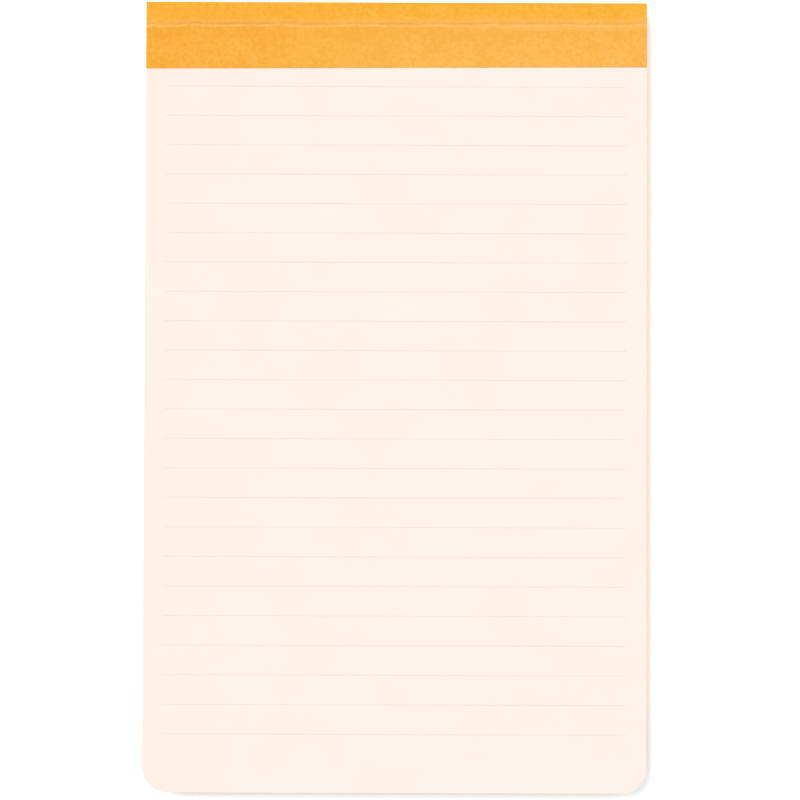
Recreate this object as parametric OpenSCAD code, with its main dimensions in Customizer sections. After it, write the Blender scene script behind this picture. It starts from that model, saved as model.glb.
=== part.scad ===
// Top-bound ruled notepad with a hard cover, lying face up with the cover folded round behind it.
// X runs across the sheets, +Y towards the binding and +Z up out of the first page.
// The origin is the middle of the footprint, on the surface that the pad lies on.

/* [Sheets] */
// Width of the pad, from side to side
pad_w = 119.4; // [80:0.2:210]
// Length of the pad, from its free end to the outside of the folded cover
pad_h = 188; // [120:1:300]
// Number of sheets in the block
sheet_count = 70; // [30:1:120]
// Thickness of one sheet
sheet_t = 0.115; // [0.08:0.005:0.2]
// Radius of the two corners at the free end
corner_r = 5.8; // [3:0.1:12]

/* [Ruling] */
// Distance from one ruled line to the next
line_pitch = 7; // [5:0.5:12]
// Width of a printed line
line_w = 0.2; // [0.1:0.05:0.6]
// Height of the ink above the paper
line_t = 0.03; // [0.02:0.01:0.1]
// Blank paper at each end of a line
line_margin = 4.8; // [2:0.1:15]
// Blank paper between the binding strip and the first line
head_margin = 4.5; // [2:0.1:20]
// Least blank paper between the last line and the free end
foot_margin = 12; // [4:0.5:30]

/* [Binding] */
// Thickness of the paper strip that binds the first sheet to the spine
strip_t = 0.25; // [0.15:0.05:0.4]
// How far the strip reaches down the first sheet
strip_grip = 10.1; // [5:0.1:20]
// Depth of the crease between the block and the spine
crease_d = 0.3; // [0.1:0.05:0.5]
// Thickness of the glue on the block's top edge
glue_t = 0.65; // [0.4:0.05:1.2]
// Thickness of the gauze over the glue
gauze_t = 0.25; // [0.15:0.05:0.5]
// Thickness of the board in the spine
spine_board_t = 2; // [1:0.1:3]

/* [Cover] */
// Thickness of the cover boards
board_t = 1.6; // [1:0.1:3]
// Thickness of the covering material
wrap_t = 0.3; // [0.2:0.05:0.4]
// Thickness of the lining paper
lining_t = 0.2; // [0.1:0.05:0.3]
// Width of the covering that is turned in over the boards
turn_in = 12; // [6:0.5:20]
// Border of covering that shows around the lining
lining_inset = 1; // [0.5:0.1:4]
// Clearance of the hinge panel inside the fold, at its ends and towards the spine
panel_gap = 0.3; // [0.2:0.05:0.6]
// Clearance between the closed cover and the binding strip
closing_gap = 0.15; // [0.1:0.05:0.4]
// Clearance between the layers that meet in a mitre on a fold line
mitre_gap = 0.05; // [0.03:0.01:0.1]

/* [Hidden] */
$fn = 96;
cover_t = wrap_t + board_t + lining_t;
gutter = cover_t + panel_gap; // the covering alone spans this much at each side of the lower fold

// Places along Y, from the folded cover's outside to the ruled page
fold_y = pad_h / 2; // both fold lines of the cover lie in this plane
free_y = -pad_h / 2;
spine_out_y = fold_y - cover_t - panel_gap;
spine_in_y = spine_out_y - wrap_t - spine_board_t;
block_top_y = spine_in_y - gauze_t - glue_t;
strip_low_y = block_top_y - strip_grip;
first_line_y = strip_low_y - head_margin;
line_count = 1 + floor((first_line_y - free_y - foot_margin) / line_pitch);

// Heights, from the surface up. The folded cover lies under the back cover.
back_z = cover_t;
back_inside_z = back_z + wrap_t + board_t;
block_z = back_inside_z + lining_t;
page_z = block_z + sheet_count * sheet_t;
strip_z = page_z + strip_t;
hinge_z = strip_z + closing_gap; // height of the upper fold line

// The hinge panel spans the spine, and the front cover has the rest of the pad's length
panel_top_z = page_z - panel_gap;
panel_in_y = fold_y - cover_t;
panel_lined_y = fold_y - lining_t;
cover_end_y = hinge_z - fold_y;

paper_colour = [0.99, 0.94, 0.90];
ink_colour = [0.95, 0.90, 0.86];
lining_colour = [0.99, 0.70, 0.28];
covering_colour = [0.96, 0.64, 0.22];
board_colour = [0.62, 0.59, 0.54];
glue_colour = [0.93, 0.89, 0.77];
gauze_colour = [0.95, 0.95, 0.92];

// A block of width w, centred on X, between two places along Y and two heights
module bar(w, y0, y1, z0, z1) {
    translate([-w / 2, y0, z0])
        cube([w, y1 - y0, z1 - z0]);
}

// A bar whose two corners at y0, the free end, are rounded
module leaf(w, y0, y1, z0, z1, r) {
    translate([0, 0, z0])
        linear_extrude(height = z1 - z0) {
            translate([-w / 2, y0 + r])
                square([w, y1 - y0 - r]);
            translate([r - w / 2, y0])
                square([w - 2 * r, 2 * r]);
            for (side = [-1, 1])
                translate([side * (w / 2 - r), y0 + r])
                    circle(r);
        }
}

// A section drawn in the YZ plane, swept across a width w
module across(w) {
    rotate([90, 0, 90])
        linear_extrude(height = w, center = true)
            children();
}

// Section of one layer of the cover beside the lower fold line. X is the distance from the fold
// line, Y the depth below the lined face, and the end at the fold is mitred.
module fold_layer(depth0, depth1, reach) {
    polygon([
        [mitre_gap + depth0, depth0],
        [mitre_gap + depth1, depth1],
        [reach, depth1],
        [reach, depth0]
    ]);
}

module on_front_cover() {
    translate([fold_y, 0])
        mirror([1, 0])
            children();
}

module on_hinge_panel() {
    translate([fold_y, 0])
        rotate(90)
            children();
}

module page_block() {
    color(paper_colour)
        leaf(pad_w, free_y, block_top_y, block_z, page_z, corner_r);
}

module page_ruling() {
    color(ink_colour)
        for (i = [0 : line_count - 1])
            translate([0, first_line_y - i * line_pitch, 0])
                bar(pad_w - 2 * line_margin, -line_w / 2, line_w / 2, page_z, page_z + line_t);
}

// The strip lies on the first sheet, dips into the crease, crosses the spine and ends at the fold
module binding_strip() {
    crease_y = (block_top_y + spine_in_y) / 2;
    color(lining_colour)
        across(pad_w)
            polygon([
                [strip_low_y, page_z],
                [block_top_y, page_z],
                [crease_y, page_z - crease_d],
                [spine_in_y, page_z],
                [fold_y - strip_t, page_z],
                [fold_y, strip_z],
                [spine_in_y, strip_z],
                [crease_y, strip_z - crease_d],
                [block_top_y, strip_z],
                [strip_low_y, strip_z]
            ]);
}

module spine_glue() {
    color(glue_colour)
        bar(pad_w, block_top_y, block_top_y + glue_t, back_inside_z, page_z - crease_d);
}

module spine_gauze() {
    color(gauze_colour)
        bar(pad_w, spine_in_y - gauze_t, spine_in_y, back_inside_z, page_z - crease_d);
}

module spine_board() {
    color(board_colour)
        bar(pad_w - 2 * wrap_t, spine_in_y, spine_out_y - wrap_t, back_inside_z, page_z - wrap_t);
}

// A shallow rebate along the board's free edges takes the covering that is turned in
module back_board() {
    color(board_colour) {
        leaf(pad_w - 2 * wrap_t, free_y + wrap_t, spine_out_y - wrap_t,
            back_z + wrap_t, back_inside_z - wrap_t, corner_r - wrap_t);
        bar(pad_w - 2 * turn_in, free_y + turn_in, spine_out_y - wrap_t,
            back_inside_z - wrap_t, back_inside_z);
    }
}

// One piece of covering goes round the back board, up the spine and over its top end
module back_cover_wrap() {
    color(covering_colour)
        difference() {
            union() {
                leaf(pad_w, free_y, spine_out_y, back_z, back_inside_z, corner_r);
                bar(pad_w, spine_in_y, spine_out_y, back_z, page_z);
            }
            back_board();
            spine_board();
        }
}

module back_lining() {
    color(lining_colour)
        leaf(pad_w - 2 * lining_inset, free_y + lining_inset, block_top_y,
            back_inside_z, block_z, corner_r - lining_inset);
}

module panel_board() {
    color(board_colour) {
        bar(pad_w - 2 * wrap_t, panel_in_y + wrap_t, panel_lined_y - wrap_t,
            gutter + wrap_t, panel_top_z - wrap_t);
        bar(pad_w - 2 * turn_in, panel_lined_y - wrap_t, panel_lined_y,
            gutter + wrap_t, panel_top_z - wrap_t);
    }
}

// The covering goes round the panel's board and on to the lower fold line
module panel_wrap() {
    color(covering_colour) {
        difference() {
            bar(pad_w, panel_in_y, panel_lined_y, gutter, panel_top_z);
            panel_board();
        }
        across(pad_w)
            on_hinge_panel()
                fold_layer(lining_t, lining_t + wrap_t, gutter);
    }
}

// Its upper end is mitred against the end of the binding strip
module panel_lining() {
    color(lining_colour)
        across(pad_w - 2 * lining_inset)
            polygon([
                [fold_y, mitre_gap],
                [fold_y, strip_z - mitre_gap],
                [panel_lined_y, strip_z - mitre_gap - lining_t],
                [panel_lined_y, mitre_gap + lining_t]
            ]);
}

module front_board() {
    color(board_colour) {
        leaf(pad_w - 2 * wrap_t, cover_end_y + wrap_t, fold_y - gutter - wrap_t,
            lining_t + wrap_t, lining_t + board_t, corner_r - wrap_t);
        bar(pad_w - 2 * turn_in, cover_end_y + turn_in, fold_y - gutter - wrap_t,
            lining_t, lining_t + wrap_t);
    }
}

// The covering goes round the front board and on to the lower fold line
module front_cover_wrap() {
    color(covering_colour) {
        difference() {
            leaf(pad_w, cover_end_y, fold_y - gutter, lining_t, cover_t, corner_r);
            front_board();
        }
        across(pad_w)
            on_front_cover()
                fold_layer(lining_t, lining_t + wrap_t, gutter);
    }
}

module front_lining() {
    lining_w = pad_w - 2 * lining_inset;
    color(lining_colour) {
        leaf(lining_w, cover_end_y + lining_inset, fold_y - gutter,
            0, lining_t, corner_r - lining_inset);
        across(lining_w)
            on_front_cover()
                fold_layer(0, lining_t, gutter);
    }
}

page_block();
page_ruling();
binding_strip();
spine_glue();
spine_gauze();
spine_board();
back_board();
back_cover_wrap();
back_lining();
panel_board();
panel_wrap();
panel_lining();
front_board();
front_cover_wrap();
front_lining();
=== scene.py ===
"""Looks of the top-bound hardcover notepad: sheets, ruling, orange binding paper and cover."""

import math
import random

import bmesh
import bpy
import numpy as np
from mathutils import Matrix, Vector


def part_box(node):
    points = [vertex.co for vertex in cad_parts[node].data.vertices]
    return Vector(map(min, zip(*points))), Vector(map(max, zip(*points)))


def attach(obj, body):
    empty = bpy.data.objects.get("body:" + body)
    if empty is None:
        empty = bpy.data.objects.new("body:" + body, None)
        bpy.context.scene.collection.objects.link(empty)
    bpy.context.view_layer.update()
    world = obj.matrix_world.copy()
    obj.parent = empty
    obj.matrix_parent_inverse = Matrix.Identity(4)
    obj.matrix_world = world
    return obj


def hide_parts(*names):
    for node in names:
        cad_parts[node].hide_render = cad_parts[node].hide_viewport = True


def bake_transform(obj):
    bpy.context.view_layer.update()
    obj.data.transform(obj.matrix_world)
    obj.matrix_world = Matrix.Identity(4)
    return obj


MM = 0.001

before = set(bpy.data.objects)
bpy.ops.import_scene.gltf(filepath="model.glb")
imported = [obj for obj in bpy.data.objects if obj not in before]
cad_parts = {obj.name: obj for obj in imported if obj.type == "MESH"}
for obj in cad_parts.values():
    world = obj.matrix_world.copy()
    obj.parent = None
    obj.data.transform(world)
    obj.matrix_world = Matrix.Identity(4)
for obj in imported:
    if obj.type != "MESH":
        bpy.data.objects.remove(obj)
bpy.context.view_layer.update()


def box_mm(node):
    """Lowest and highest corner of a CAD node, in millimetres."""
    low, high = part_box(node)
    return [c / MM for c in low], [c / MM for c in high]


# Corners that the frame gives, in millimetres
BLOCK_LOW, BLOCK_HIGH = box_mm("page_block")
STRIP_LOW, STRIP_HIGH = box_mm("binding_strip")
BACK_LOW, BACK_HIGH = box_mm("back_cover_wrap")
PANEL_LOW, PANEL_HIGH = box_mm("panel_wrap")
FRONT_LOW, FRONT_HIGH = box_mm("front_cover_wrap")
FRONT_BOARD_LOW, FRONT_BOARD_HIGH = box_mm("front_board")
LINING_LOW, LINING_HIGH = box_mm("front_lining")

# Sizes and places that follow from them
PAD_W = BLOCK_HIGH[0] - BLOCK_LOW[0]
HALF_W = PAD_W / 2
PAGE_Z = BLOCK_HIGH[2]
STRIP_Z = STRIP_HIGH[2]
FOLD_Y = STRIP_HIGH[1]
LINED_Y = PANEL_HIGH[1]
LINING_T = LINING_HIGH[2] - LINING_LOW[2]
LINING_W = LINING_HIGH[0] - LINING_LOW[0]
LINING_INSET = (PAD_W - LINING_W) / 2
WRAP_T = FRONT_BOARD_LOW[0] - FRONT_LOW[0]
GUTTER_Y = FRONT_BOARD_HIGH[1] + WRAP_T
GUTTER_Z = box_mm("panel_board")[0][2] - WRAP_T
SPINE_IN_Y = box_mm("spine_board")[0][1]
BACK_INSIDE_Z = box_mm("back_board")[1][2]

# Roundings: corners at the free end, corners at the head, edges of the covering and folds.
# The edges' rounding is a little narrower than it is high.
CORNER_R = 5.8
HEAD_R = 0.6
EDGE_R = 0.34
EDGE_NARROWING = 0.96
FOLD_R = 0.45

# Sheets of the block. Their edges are a little uneven, with a groove between each two,
# and only the first page reaches the block's full size.
SHEETS = 70
GROOVE = 0.05
LIP_SHARE = 0.16
SHEET_INSET = 0.07
SHEET_DRIFT = 0.02
SHEET_JITTER = 0.022
SHEET_SHIFT_LIMIT = 0.065
BEVEL_W = 0.02
BEVEL_H = 0.015

# Crease of the binding paper, which is pasted on askew
CREASE_Y = BLOCK_HIGH[1] + 0.27
CREASE_HALF_TOP = 0.65
CREASE_HALF_UNDER = 0.3
CREASE_DEPTH = 0.17
CREASE_DEPTH_SPREAD = 0.35
CREASE_SWAY_BROAD = 0.09
CREASE_SWAY_SHORT = 0.04
CREASE_WAVER = 1.9
STRIP_SKEW = 0.33
STRIP_LIFT = 0.01
STRIP_STATIONS = 160

# Height of the seam between strip and lining on the hinge panel
SEAM_Z = 3.4

# How smooth the shading runs over an angle between faces, in degrees
SHEET_SMOOTH = 20.0
PAPER_SMOOTH = 35.0
COVERING_SMOOTH = 40.0


class Shader:
    """The node graph of a material or of the world, built one named step at a time."""

    def __init__(self, owner, output_kind="ShaderNodeOutputMaterial"):
        self.owner = owner
        owner.use_nodes = True
        self.tree = owner.node_tree
        self.tree.nodes.clear()
        self.output = self.tree.nodes.new(output_kind)

    def node(self, kind, inputs=None, **settings):
        made = self.tree.nodes.new(kind)
        for key, value in settings.items():
            setattr(made, key, value)
        for key, value in (inputs or {}).items():
            self.put(made.inputs[key], value)
        return made

    def put(self, socket, value):
        if isinstance(value, bpy.types.NodeSocket):
            self.tree.links.new(value, socket)
        else:
            socket.default_value = value

    def rest_mm(self):
        """Where a point lies at rest, in millimetres, whatever the pose."""
        return self.node("ShaderNodeAttribute", attribute_name="rest_mm").outputs["Vector"]

    def object_mm(self):
        """The same for a CAD node, which doesn't bend."""
        place = self.node("ShaderNodeTexCoord").outputs["Object"]
        return self.stretched(place, (1 / MM, 1 / MM, 1 / MM))

    def stretched(self, place, factors):
        return self.node("ShaderNodeVectorMath", {0: place, 1: factors},
                         operation="MULTIPLY").outputs[0]

    def noise(self, place, scale, detail=2.0, rough=0.5):
        return self.node("ShaderNodeTexNoise", {
            "Vector": place, "Scale": scale, "Detail": detail, "Roughness": rough,
        }).outputs["Fac"]

    def remap(self, value, low, high, to_low=0.0, to_high=1.0):
        return self.node("ShaderNodeMapRange", {
            "Value": value, "From Min": low, "From Max": high,
            "To Min": to_low, "To Max": to_high,
        }, interpolation_type="SMOOTHSTEP").outputs["Result"]

    def maths(self, operation, a, b=0.0):
        return self.node("ShaderNodeMath", {0: a, 1: b}, operation=operation).outputs[0]

    def mix(self, factor, a, b):
        made = self.node("ShaderNodeMix", data_type="RGBA")
        for socket, value in zip([made.inputs[0], made.inputs[6], made.inputs[7]], [factor, a, b]):
            self.put(socket, value)
        return made.outputs[2]

    def axis(self, place, letter):
        return self.node("ShaderNodeSeparateXYZ", {0: place}).outputs[letter]

    def bump(self, height, distance_mm, strength=1.0, normal=None):
        made = self.node("ShaderNodeBump", {
            "Height": height, "Distance": distance_mm * MM, "Strength": strength,
        })
        if normal is not None:
            self.put(made.inputs["Normal"], normal)
        return made.outputs["Normal"]

    def surface(self, colour, roughness, normal=None, specular=0.2):
        shader = self.node("ShaderNodeBsdfPrincipled", {
            "Base Color": colour, "Roughness": roughness, "Specular IOR Level": specular,
        })
        if normal is not None:
            self.put(shader.inputs["Normal"], normal)
        self.tree.links.new(shader.outputs["BSDF"], self.output.inputs["Surface"])
        return self.owner


def new_material(name):
    return Shader(bpy.data.materials.new(name))


def srgb(red, green, blue):
    """A colour as an image shows it, from 0 to 255, as the linear colour that a shader takes."""
    def linear(level):
        part = level / 255
        return part / 12.92 if part <= 0.04045 else ((part + 0.055) / 1.055) ** 2.4
    return (linear(red), linear(green), linear(blue), 1.0)


def paper_bump(shader, place, strength):
    """The fine tooth of uncoated paper, with longer fibres through it."""
    tooth = shader.noise(place, scale=5.0, detail=4.0, rough=0.65)
    drawn_out = shader.stretched(place, (1.0, 0.35, 1.0))
    fibres = shader.noise(drawn_out, scale=2.2, detail=3.0, rough=0.7)
    height = shader.maths("ADD", tooth, shader.maths("MULTIPLY", fibres, 0.6))
    return shader.bump(height, 0.012, strength)


def page_material():
    """Warm white writing paper. The block's sides show the edges of its sheets."""
    shader = new_material("page_paper")
    place = shader.rest_mm()
    cloud = shader.noise(place, scale=0.06, detail=3.0, rough=0.55)
    page = shader.mix(shader.remap(cloud, 0.3, 0.7), srgb(254, 240, 230), srgb(255, 243, 233))
    warmer = shader.remap(shader.axis(place, "X"), -HALF_W, -HALF_W / 3, 0.55, 0.0)
    page = shader.mix(warmer, page, srgb(254, 239, 229))

    in_layers = shader.stretched(place, (0.02, 0.02, 1.6))
    layers = shader.noise(in_layers, scale=1.0, detail=4.0, rough=0.85)
    side = shader.mix(shader.remap(layers, 0.36, 0.62), srgb(229, 211, 194), srgb(255, 245, 234))
    facing = shader.node("ShaderNodeNewGeometry").outputs["True Normal"]
    facing_up = shader.remap(shader.axis(facing, "Z"), 0.5, 0.9)
    colour = shader.mix(facing_up, side, page)
    return shader.surface(colour, 0.82, paper_bump(shader, place, 0.35), specular=0.12)


def ink_material():
    """Pale grey print, a little uneven along each line."""
    shader = new_material("ruling_ink")
    patchy = shader.noise(shader.object_mm(), scale=1.4, detail=3.0, rough=0.7)
    colour = shader.mix(shader.remap(patchy, 0.3, 0.75), srgb(241, 228, 219), srgb(248, 236, 227))
    return shader.surface(colour, 0.8, specular=0.1)


def crease_distance(shader, place, along):
    """How far a point of the binding paper lies past its crease, which is askew and wavers."""
    distance = shader.maths("SUBTRACT", shader.axis(place, "Y"), CREASE_Y)
    askew = shader.maths("MULTIPLY", shader.axis(place, "X"), skew(CREASE_Y) / HALF_W)
    waver = shader.noise(along, scale=0.12, detail=4.0, rough=0.65)
    waver = shader.maths("MULTIPLY", shader.maths("SUBTRACT", waver, 0.5), CREASE_WAVER)
    return shader.maths("ADD", shader.maths("SUBTRACT", distance, askew), waver)


def orange_tones(shader, place, painted_sheen_ramp, off_page, rubbed):
    """The orange paper's colour: mottled on the page and smoother off it, and lighter and greyer
    towards the right, which is painted sheen.
    """
    fine = shader.noise(place, scale=1.1, detail=4.0, rough=0.68)
    broad = shader.noise(place, scale=0.16)
    spots = shader.maths("ADD", shader.maths("MULTIPLY", fine, 0.75),
                         shader.maths("MULTIPLY", broad, 0.25))
    spots = shader.remap(spots, 0.36, 0.64)

    def toned(amount, left_pair, right_pair):
        return shader.mix(painted_sheen_ramp, shader.mix(amount, *left_pair), shader.mix(amount, *right_pair))

    mottled = toned(shader.maths("SUBTRACT", spots, rubbed),
                    (srgb(248, 169, 50), srgb(255, 183, 73)),
                    (srgb(249, 177, 70), srgb(255, 190, 91)))
    smooth = toned(spots, (srgb(249, 171, 40), srgb(255, 183, 66)),
                   (srgb(249, 174, 43), srgb(255, 186, 69)))
    return shader.mix(off_page, mottled, smooth)


def orange_paper_material(name, place_of):
    """Orange paper, mottled where it lies on the first page and lighter towards the right with painted
    sheen, with a rubbed and cracked crease at the spine that has painted shade in its groove and
    painted highlight along its lit wall.
    """
    shader = new_material(name)
    place = place_of(shader)
    along = shader.stretched(place, (1.0, 0.15, 0.15))
    past_crease = crease_distance(shader, place, along)
    on_top = shader.remap(shader.axis(place, "Z"), STRIP_Z - 1.2, STRIP_Z - 0.6)
    # Painted sheen: the orange grows lighter and greyer towards the right
    painted_sheen_ramp = shader.remap(shader.axis(place, "X"), -HALF_W, HALF_W / 2)

    def band(centre, core, reach):
        """1 near a line beside the crease, out to core, and 0 from reach on."""
        off = shader.maths("ABSOLUTE", shader.maths("SUBTRACT", past_crease, centre))
        return shader.maths("MULTIPLY", shader.remap(off, core, reach, 1.0, 0.0), on_top)

    off_page = shader.maths("MAXIMUM", shader.remap(past_crease, 0.5, 2.1),
                            shader.maths("SUBTRACT", 1.0, on_top))
    rubbed = shader.maths("MULTIPLY", band(-1.9, 0.6, 2.4), 0.3)
    colour = orange_tones(shader, place, painted_sheen_ramp, off_page, rubbed)

    # The slope past the crease is a little paler
    slope = shader.maths("MULTIPLY", band(0.35, 0.3, 1.4), 0.34)
    colour = shader.mix(slope, colour, srgb(252, 185, 98))

    # Painted shade: short dark dashes in the crease's groove just past the crease, more of them on the
    # left
    broken = shader.noise(along, scale=0.16, detail=4.0, rough=0.7)
    painted_crease_shade = shader.maths("MULTIPLY", band(0.24, 0.04, 0.3),
                         shader.remap(broken, 0.36, 0.52, 0.6, 0.0))
    painted_crease_shade = shader.maths("MULTIPLY", painted_crease_shade, shader.remap(painted_sheen_ramp, 0.0, 1.0, 1.0, 0.6))
    colour = shader.mix(painted_crease_shade, colour, srgb(234, 160, 64))

    # On the right the page's side of the crease is lighter in a wider band: wear, together with
    # painted highlight on the crease's lit wall
    ragged = shader.noise(shader.stretched(place, (1.0, 2.2, 1.0)), scale=1.6, detail=5.0, rough=0.75)
    on_right = shader.remap(shader.axis(place, "X"), HALF_W / 6, HALF_W / 2, 0.0, 0.42)
    wear_and_highlight = shader.maths("MULTIPLY", band(-0.85, 0.15, 0.9), shader.remap(ragged, 0.36, 0.62, 0.5, 1.0))
    colour = shader.mix(shader.maths("MULTIPLY", wear_and_highlight, on_right), colour, srgb(255, 196, 110))

    # Pale fibres show where the crease has cracked the colour; along the same line a painted highlight
    # stands for light on the crease's lit lower wall
    patchy = shader.noise(along, scale=0.21, detail=3.0, rough=0.7)
    fibres = shader.maths("MULTIPLY", shader.remap(ragged, 0.36, 0.62, 0.3, 1.0),
                          shader.remap(patchy, 0.36, 0.56, 0.25, 1.0))
    crack_and_highlight = shader.maths("MULTIPLY", band(-0.3, 0.07, 0.42), fibres)
    colour = shader.mix(shader.maths("MULTIPLY", crack_and_highlight, 0.72), colour, srgb(255, 203, 118))
    return shader.surface(colour, 0.8, paper_bump(shader, place, 0.7), specular=0.15)


def covering_material():
    """Orange covering paper, embossed with a fine grain of rounded pebbles."""
    shader = new_material("orange_covering")
    place = shader.rest_mm()
    tone = shader.noise(place, scale=0.5, detail=3.0, rough=0.6)
    colour = shader.mix(shader.remap(tone, 0.3, 0.7), srgb(240, 156, 46), srgb(247, 168, 60))
    pebbles = shader.node("ShaderNodeTexVoronoi", {"Vector": place, "Scale": 1.2},
                          feature="SMOOTH_F1").outputs["Distance"]
    # Painted shade: the hollows between the pebbles are darker
    between = shader.remap(pebbles, 0.35, 0.75, 0.0, 0.45)
    colour = shader.mix(between, colour, srgb(218, 128, 30))
    grain = shader.bump(shader.maths("MULTIPLY", pebbles, -1.0), 0.1, 0.8)
    fine = shader.noise(place, scale=6.0, detail=3.0, rough=0.6)
    normal = shader.bump(fine, 0.01, 0.5, grain)
    return shader.surface(colour, 0.55, normal, specular=0.35)


def board_material():
    """Dense grey board, flecked with recycled fibre."""
    shader = new_material("greyboard")
    place = shader.object_mm()
    flecks = shader.noise(place, scale=2.5, detail=5.0, rough=0.75)
    colour = shader.mix(shader.remap(flecks, 0.35, 0.65), srgb(148, 140, 128), srgb(176, 168, 154))
    return shader.surface(colour, 0.9, paper_bump(shader, place, 0.8), specular=0.1)


def glue_material():
    """Dried cream glue with soft ripples."""
    shader = new_material("binding_glue")
    ripple = shader.noise(shader.stretched(shader.object_mm(), (1.0, 1.0, 2.5)), scale=0.9)
    colour = shader.mix(ripple, srgb(238, 222, 196), srgb(250, 240, 223))
    return shader.surface(colour, 0.4, shader.bump(ripple, 0.1, 0.6), specular=0.4)


def gauze_material():
    """Open white cotton weave, soaked with glue."""
    shader = new_material("binding_gauze")
    place = shader.object_mm()

    def threads_across(axis):
        return shader.node("ShaderNodeTexWave", {"Vector": place, "Scale": 0.7},
                           bands_direction=axis).outputs["Fac"]

    threads = shader.maths("MAXIMUM", threads_across("X"), threads_across("Z"))
    colour = shader.mix(shader.remap(threads, 0.4, 0.9), srgb(230, 215, 196), srgb(250, 244, 236))
    return shader.surface(colour, 0.85, shader.bump(threads, 0.08, 0.8), specular=0.1)


def finish_mesh(piece, smooth_angle):
    """Shades a piece smooth up to an angle and stores its rest places for the materials."""
    mesh = piece.data
    mesh.shade_smooth()
    mesh.set_sharp_from_angle(angle=math.radians(smooth_angle))
    stored = mesh.attributes.get("rest_mm") or mesh.attributes.new("rest_mm", "FLOAT_VECTOR", "POINT")
    places = np.empty(len(mesh.vertices) * 3, np.float32)
    mesh.vertices.foreach_get("co", places)
    stored.data.foreach_set("vector", places / MM)


def lofted(name, rings, material, smooth_angle=COVERING_SMOOTH):
    """A closed body from rings of points in millimetres: quads between them and a cap on each end."""
    count = len(rings[0])
    last = (len(rings) - 1) * count
    faces = [tuple(reversed(range(count)))]
    for first in range(0, last, count):
        for i in range(count):
            j = (i + 1) % count
            faces.append((first + i, first + j, first + count + j, first + count + i))
    faces.append(tuple(range(last, last + count)))

    mesh = bpy.data.meshes.new(name)
    mesh.from_pydata([[c * MM for c in point] for ring in rings for point in ring], [], faces)
    shape = bmesh.new()
    shape.from_mesh(mesh)
    bmesh.ops.recalc_face_normals(shape, faces=shape.faces)
    shape.to_mesh(mesh)
    shape.free()
    piece = bpy.data.objects.new(name, mesh)
    bpy.context.scene.collection.objects.link(piece)
    mesh.materials.append(material)
    finish_mesh(piece, smooth_angle)
    return piece


def swept(name, stations, material):
    """A paper of closed sections along X: stations are (x, [(y, z), ...]) pairs."""
    rings = [[(x, y, z) for y, z in section] for x, section in stations]
    return lofted(name, rings, material, PAPER_SMOOTH)


def level(outline, height):
    """An outline's points at one height."""
    return [(x, y, height) for x, y in outline]


def even(start, end, count):
    """count places from start to end, both included."""
    return [start + (end - start) * k / (count - 1) for k in range(count)]


def quarter_turn(centre, radius, start_degrees, steps):
    """A quarter of a circle, anticlockwise."""
    turns = [math.radians(start_degrees + 90 * k / steps) for k in range(steps + 1)]
    return [(centre[0] + radius * math.cos(turn), centre[1] + radius * math.sin(turn))
            for turn in turns]


def leaf_outline(half_w, free_y, head_y, free_r, head_r, steps=14, side_stop=None):
    """A rectangle with rounded corners, anticlockwise from the upper end of its right side.
    Each side may have one more point, at side_stop along Y."""
    head = quarter_turn((half_w - head_r, head_y - head_r), head_r, 0, 4)
    head += quarter_turn((head_r - half_w, head_y - head_r), head_r, 90, 4)
    free = quarter_turn((free_r - half_w, free_y + free_r), free_r, 180, steps)
    free += quarter_turn((half_w - free_r, free_y + free_r), free_r, 270, steps)
    if side_stop is None:
        return head + free
    return head + [(-half_w, side_stop)] + free + [(half_w, side_stop)]


def rounding(radius, steps=4):
    """(inset, height) pairs of a rounded edge, from the flat face to the upright side."""
    arc = quarter_turn((0.0, radius), radius, 180, steps)
    return [((radius + across) * EDGE_NARROWING, height) for across, height in reversed(arc)]


def sheet_stack(material):
    """The block of sheets: one closed body whose sides are cut by a groove between sheets."""
    dice = random.Random(11)
    sheet_t = (PAGE_Z - BLOCK_LOW[2]) / SHEETS
    lip = sheet_t * LIP_SHARE
    rings = []
    drift = [0.0, 0.0]
    for sheet in range(SHEETS):
        low = BLOCK_LOW[2] + sheet * sheet_t
        cuts = [(GROOVE, low), (0.0, low + lip)]
        drift = [0.9 * d + dice.uniform(-SHEET_DRIFT, SHEET_DRIFT) for d in drift]
        if sheet < SHEETS - 1:
            cuts.append((0.0, low + sheet_t - lip))
            inset = SHEET_INSET
            shifts = [d + dice.uniform(-SHEET_JITTER, SHEET_JITTER) for d in drift]
            shift_x, shift_y = np.clip(shifts, -SHEET_SHIFT_LIMIT, SHEET_SHIFT_LIMIT)
        else:
            cuts += [(0.0, PAGE_Z - BEVEL_H), (BEVEL_W, PAGE_Z)]
            inset = shift_x = shift_y = 0.0
        for cut, height in cuts:
            drawn_in = inset + cut
            outline = leaf_outline(HALF_W - drawn_in, BLOCK_LOW[1] + drawn_in, BLOCK_HIGH[1] - 0.02,
                                   CORNER_R - drawn_in, 0.05, steps=16)
            moved = [(x + shift_x, min(y + shift_y, BLOCK_HIGH[1])) for x, y in outline]
            rings.append(level(moved, height))
    piece = lofted("sheet_stack", rings, material, SHEET_SMOOTH)
    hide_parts("page_block")
    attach(piece, "pad")


def crease(y, half, depth):
    """How far the strip dips at y."""
    off = abs(y - CREASE_Y) / half
    return depth * 0.5 * (1 + math.cos(math.pi * off)) if off < 1 else 0.0


def skew(y):
    """The strip is pasted a little askew: how far its right end lies up the page at y."""
    return STRIP_SKEW * (FOLD_Y - y) / (FOLD_Y - STRIP_LOW[1])


def wander(dice, reach):
    """One random value for each station of the strip, of unit spread, that change slowly:
    neighbours within about reach stations are alike."""
    values = dice.normal(0.0, 1.0, STRIP_STATIONS + reach - 1)
    values = np.convolve(values, np.hanning(reach), "valid")
    return values / values.std()


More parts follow.
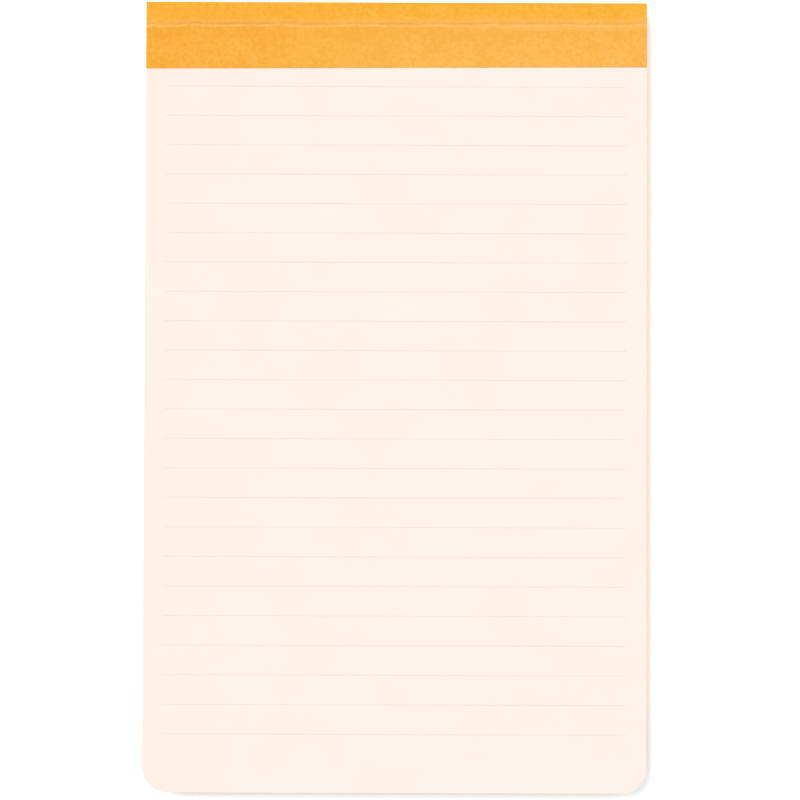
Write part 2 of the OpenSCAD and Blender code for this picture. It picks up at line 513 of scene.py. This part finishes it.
def binding_paper(material):
    """The orange strip on the first page, over the fold and down the hinge panel, as one paper."""
    dice = np.random.default_rng(5)
    sways = CREASE_SWAY_BROAD * wander(dice, 31) + CREASE_SWAY_SHORT * wander(dice, 7)
    depths = CREASE_DEPTH * np.clip(1 + CREASE_DEPTH_SPREAD * wander(dice, 9), 0.3, 1.6)
    under_z = PAGE_Z + STRIP_LIFT
    low_y = STRIP_LOW[1]
    bend_y = FOLD_Y - FOLD_R
    inner_r = FOLD_R - LINING_T

    # Places along the page and spine, close together in the crease, and down the hinge panel
    flat = even(low_y + 0.5, CREASE_Y - 1.2, 10)
    flat += even(CREASE_Y - 0.9, CREASE_Y + 0.9, 19)
    flat += even(CREASE_Y + 1.3, bend_y - 0.25, 10)
    drop = even(STRIP_Z - FOLD_R - 0.25, SEAM_Z + 0.04, 12)

    def section(across, sway, depth):
        loop = [(low_y, under_z + 0.04), (low_y + 0.05, STRIP_Z - 0.05), (low_y + 0.16, STRIP_Z)]
        loop += [(y, STRIP_Z - crease(y - sway, CREASE_HALF_TOP, depth)) for y in flat]
        loop += reversed(quarter_turn((bend_y, STRIP_Z - FOLD_R), FOLD_R, 0, 10))
        loop += [(FOLD_Y, z) for z in drop]
        loop += [(LINED_Y, min(z, under_z - inner_r - 0.02)) for z in reversed(drop)]
        loop += quarter_turn((bend_y, under_z - inner_r), inner_r, 0, 10)
        loop += [(y, under_z - crease(y, CREASE_HALF_UNDER, depth)) for y in reversed(flat)]
        loop.append((low_y + 0.05, under_z))
        return [(y + across * max(0.0, skew(y) - skew(bend_y)), z) for y, z in loop]

    stations = [(x, section(x / HALF_W, sway, depth))
                for x, sway, depth in zip(even(-HALF_W, HALF_W, STRIP_STATIONS), sways, depths)]
    piece = swept("binding_paper", stations, material)
    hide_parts("binding_strip", "panel_lining")
    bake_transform(piece)


def rounded_end(half_w, radius):
    """(x, how far the free end draws back) across a leaf with rounded corners."""
    arc = quarter_turn((radius - half_w, radius), radius, 180, 12)
    middle = [(x, 0.0) for x in even(arc[-1][0], -arc[-1][0], 10)[1:-1]]
    return arc + middle + [(-x, back) for x, back in reversed(arc)]


def blend_at_lower_fold(piece):
    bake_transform(piece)


def lining_paper(material):
    """The lining of the front cover, round the lower fold and up the hinge panel to the seam."""
    centre = (FOLD_Y - FOLD_R, FOLD_R)
    bend = quarter_turn(centre, FOLD_R, -90, 8)
    inner_bend = quarter_turn(centre, FOLD_R - LINING_T, -90, 8)
    gutter = even(GUTTER_Y, FOLD_Y - FOLD_R - 0.1, 5)
    rise = even(FOLD_R + 0.1, SEAM_Z, 8)

    stations = []
    for x, back in rounded_end(LINING_W / 2, CORNER_R - LINING_INSET):
        flat = even(LINING_LOW[1] + back, GUTTER_Y - 1.0, 8) + gutter
        loop = [(y, 0.0) for y in flat] + bend + [(FOLD_Y, z) for z in rise]
        loop += [(LINED_Y, z) for z in reversed(rise)]
        loop += reversed(inner_bend)
        loop += [(y, LINING_T) for y in reversed(flat)]
        stations.append((x, loop))
    piece = swept("cover_lining", stations, material)
    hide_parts("front_lining")
    blend_at_lower_fold(piece)


def fold_covering(material):
    """The bare covering that bends at the lower fold, between the two boards."""
    near = LINING_T + 0.01
    far = LINING_T + WRAP_T
    outer_r = 0.3
    inner_r = 0.12
    flat = even(GUTTER_Y, FOLD_Y - near - outer_r - 0.05, 6)
    rise = even(near + outer_r + 0.05, GUTTER_Z, 6)
    loop = [(y, near) for y in flat]
    loop += quarter_turn((FOLD_Y - near - outer_r, near + outer_r), outer_r, -90, 8)
    loop += [(FOLD_Y - near, z) for z in rise]
    loop += [(FOLD_Y - far, z) for z in reversed(rise)]
    loop += reversed(quarter_turn((FOLD_Y - far - inner_r, far + inner_r), inner_r, -90, 8))
    loop += [(y, far) for y in reversed(flat)]
    piece = swept("fold_covering", [(x, loop) for x in even(-HALF_W, HALF_W, 24)], material)
    blend_at_lower_fold(piece)


def hollow(piece, board, axis, reach):
    """Cuts a board's space out of its covering, lengthened by reach along one axis to open it."""
    cutter = bpy.data.objects.new("cutter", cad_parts[board].data.copy())
    bpy.context.scene.collection.objects.link(cutter)
    places = np.array([v.co for v in cutter.data.vertices])
    outward = places[:, axis] * math.copysign(1, reach)
    places[np.isclose(outward, outward.max()), axis] += reach * MM
    cutter.data.vertices.foreach_set("co", places.ravel())
    modifier = piece.modifiers.new("hollow", "BOOLEAN")
    modifier.operation = "DIFFERENCE"
    modifier.solver = "EXACT"
    modifier.object = cutter
    bpy.context.view_layer.update()
    evaluated = piece.evaluated_get(bpy.context.evaluated_depsgraph_get())
    cut = bpy.data.meshes.new_from_object(evaluated)
    piece.modifiers.clear()
    piece.data = cut
    bpy.data.objects.remove(cutter)
    finish_mesh(piece, COVERING_SMOOTH)


def front_covering(material):
    """The covering of the front board, with rounded edges, turned in round the lining."""
    def ring(inset, head_inset, height):
        outline = leaf_outline(HALF_W - inset, FRONT_LOW[1] + inset, GUTTER_Y - head_inset,
                               CORNER_R - inset, HEAD_R)
        return level(outline, height)

    edge = rounding(EDGE_R)
    rings = [ring(inset, 0.0, FRONT_LOW[2] + height) for inset, height in edge]
    rings += [ring(inset, inset, FRONT_HIGH[2] - height) for inset, height in reversed(edge)]
    piece = lofted("front_covering", rings, material)
    hollow(piece, "front_board", axis=2, reach=-0.5)
    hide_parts("front_cover_wrap")
    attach(piece, "front_cover")


def panel_covering(material):
    """The covering of the narrow board between the two folds."""
    def ring(inset, lined_inset, height):
        outline = leaf_outline(HALF_W - inset, PANEL_LOW[1] + inset, LINED_Y - lined_inset,
                               EDGE_R, 0.12, steps=4)
        return level(outline, height)

    edge = rounding(EDGE_R * 0.9)
    rings = [ring(inset, 0.0, GUTTER_Z + height) for inset, height in edge]
    rings += [ring(inset, inset * 0.4, PANEL_HIGH[2] - height) for inset, height in reversed(edge)]
    piece = lofted("panel_covering", rings, material)
    hollow(piece, "panel_board", axis=1, reach=0.5)
    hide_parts("panel_wrap")
    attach(piece, "hinge_panel")


def back_covering(material):
    """One covering round the back board, up the spine and over the spine's top end."""
    def outline(inset):
        return leaf_outline(HALF_W - inset, BACK_LOW[1] + inset, BACK_HIGH[1] - inset,
                            CORNER_R - inset, HEAD_R, side_stop=SPINE_IN_Y)

    def plate_ring(inset, spine_inset, height):
        """A ring round the whole plate, whose end under the spine may have its own inset."""
        pairs = zip(outline(inset), outline(spine_inset))
        return level([plate if plate[1] < SPINE_IN_Y else spine for plate, spine in pairs], height)

    def spine_ring(inset, height):
        """A ring round the spine alone. The plate's points gather along its inner face."""
        head = [(x, y) for x, y in outline(inset) if y > SPINE_IN_Y]
        row = even(inset - HALF_W, HALF_W - inset, len(outline(inset)) - len(head))
        return level(head + [(x, SPINE_IN_Y + inset) for x in row], height)

    edge = rounding(EDGE_R)
    rings = [plate_ring(inset, inset, BACK_LOW[2] + height) for inset, height in edge]
    rings += [plate_ring(inset, 0.0, BACK_INSIDE_Z - height) for inset, height in reversed(edge)]
    rings.append(spine_ring(0.0, BACK_INSIDE_Z))
    rings += [spine_ring(inset, BACK_HIGH[2] - height) for inset, height in reversed(edge)]
    piece = lofted("back_covering", rings, material)
    hollow(piece, "back_board", axis=2, reach=0.5)
    hollow(piece, "spine_board", axis=1, reach=-0.5)
    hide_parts("back_cover_wrap")
    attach(piece, "pad")


def dress_cad_nodes(finishes):
    """Gives the CAD nodes that still show their own finish."""
    for name, material in finishes.items():
        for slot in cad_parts[name].material_slots:
            slot.material = material


def white_to_camera(shader, lit, shown):
    """Chooses what a camera, glossy or transmission ray sees, apart from what lights the object."""
    path = shader.node("ShaderNodeLightPath")
    seen = shader.maths("MAXIMUM", path.outputs["Is Camera Ray"], path.outputs["Is Glossy Ray"])
    seen = shader.maths("MAXIMUM", seen, path.outputs["Is Transmission Ray"])
    chosen = shader.node("ShaderNodeMixShader", {0: seen, 1: lit, 2: shown})
    shader.tree.links.new(chosen.outputs[0], shader.output.inputs["Surface"])


def make_floor():
    """A white table top. It is drawn bright, so that only the shadow at its foot is left."""
    half = 3.0
    mesh = bpy.data.meshes.new("floor")
    mesh.from_pydata([(-half, -half, 0), (half, -half, 0), (half, half, 0), (-half, half, 0)],
                     [], [(0, 1, 2, 3)])
    floor = bpy.data.objects.new("floor", mesh)
    bpy.context.scene.collection.objects.link(floor)
    shader = new_material("floor_white")
    lit = shader.node("ShaderNodeBsdfDiffuse", {"Color": (0.8, 0.8, 0.8, 1)}).outputs[0]
    shown = shader.node("ShaderNodeBsdfDiffuse", {"Color": (1.46, 1.62, 1.7, 1)}).outputs[0]
    white_to_camera(shader, lit, shown)
    mesh.materials.append(shader.owner)


def make_light():
    """An even pale room and one broad soft light from the upper left."""
    world = bpy.data.worlds.new("studio")
    bpy.context.scene.world = world
    shader = Shader(world, "ShaderNodeOutputWorld")
    room = shader.node("ShaderNodeBackground", {"Color": (1, 1, 1, 1), "Strength": 0.62})
    white = shader.node("ShaderNodeBackground", {"Color": (1, 1, 1, 1), "Strength": 1.0})
    white_to_camera(shader, room.outputs[0], white.outputs[0])

    sun = bpy.data.lights.new("key", "SUN")
    sun.energy = 1.28
    sun.angle = math.radians(20)
    key = bpy.data.objects.new("key", sun)
    key.rotation_euler = (math.radians(-13), math.radians(-14), 0)
    bpy.context.scene.collection.objects.link(key)


def make_camera():
    """Looks straight down, as the photograph does, with a slight tilt and roll."""
    image_px = 800
    pixels_per_mm = 4.209
    distance = 0.8
    tilt = math.radians(2.0)
    roll = math.radians(0.19)
    aim = np.array([0.00119, -0.00093, PAGE_Z * MM])
    data = bpy.data.cameras.new("camera")
    data.sensor_fit = "HORIZONTAL"
    data.sensor_width = 36.0
    data.lens = data.sensor_width * pixels_per_mm * distance / MM / image_px
    data.clip_start = 0.01
    camera = bpy.data.objects.new("camera", data)
    camera.location = aim + distance * np.array([0.0, -math.sin(tilt), math.cos(tilt)])
    camera.rotation_euler = (tilt, 0, roll)
    bpy.context.scene.collection.objects.link(camera)
    bpy.context.scene.camera = camera


def main():
    bpy.context.scene.view_settings.view_transform = "Standard"
    orange_paper = orange_paper_material("orange_paper", Shader.rest_mm)
    covering = covering_material()
    sheet_stack(page_material())
    binding_paper(orange_paper)
    lining_paper(orange_paper)
    front_covering(covering)
    panel_covering(covering)
    fold_covering(covering)
    back_covering(covering)
    board = board_material()
    dress_cad_nodes({
        "page_ruling": ink_material(),
        "spine_glue": glue_material(),
        "spine_gauze": gauze_material(),
        "back_lining": orange_paper_material("lining_paper", Shader.object_mm),
        "spine_board": board,
        "back_board": board,
        "panel_board": board,
        "front_board": board,
    })
    make_floor()
    make_light()
    make_camera()


main()
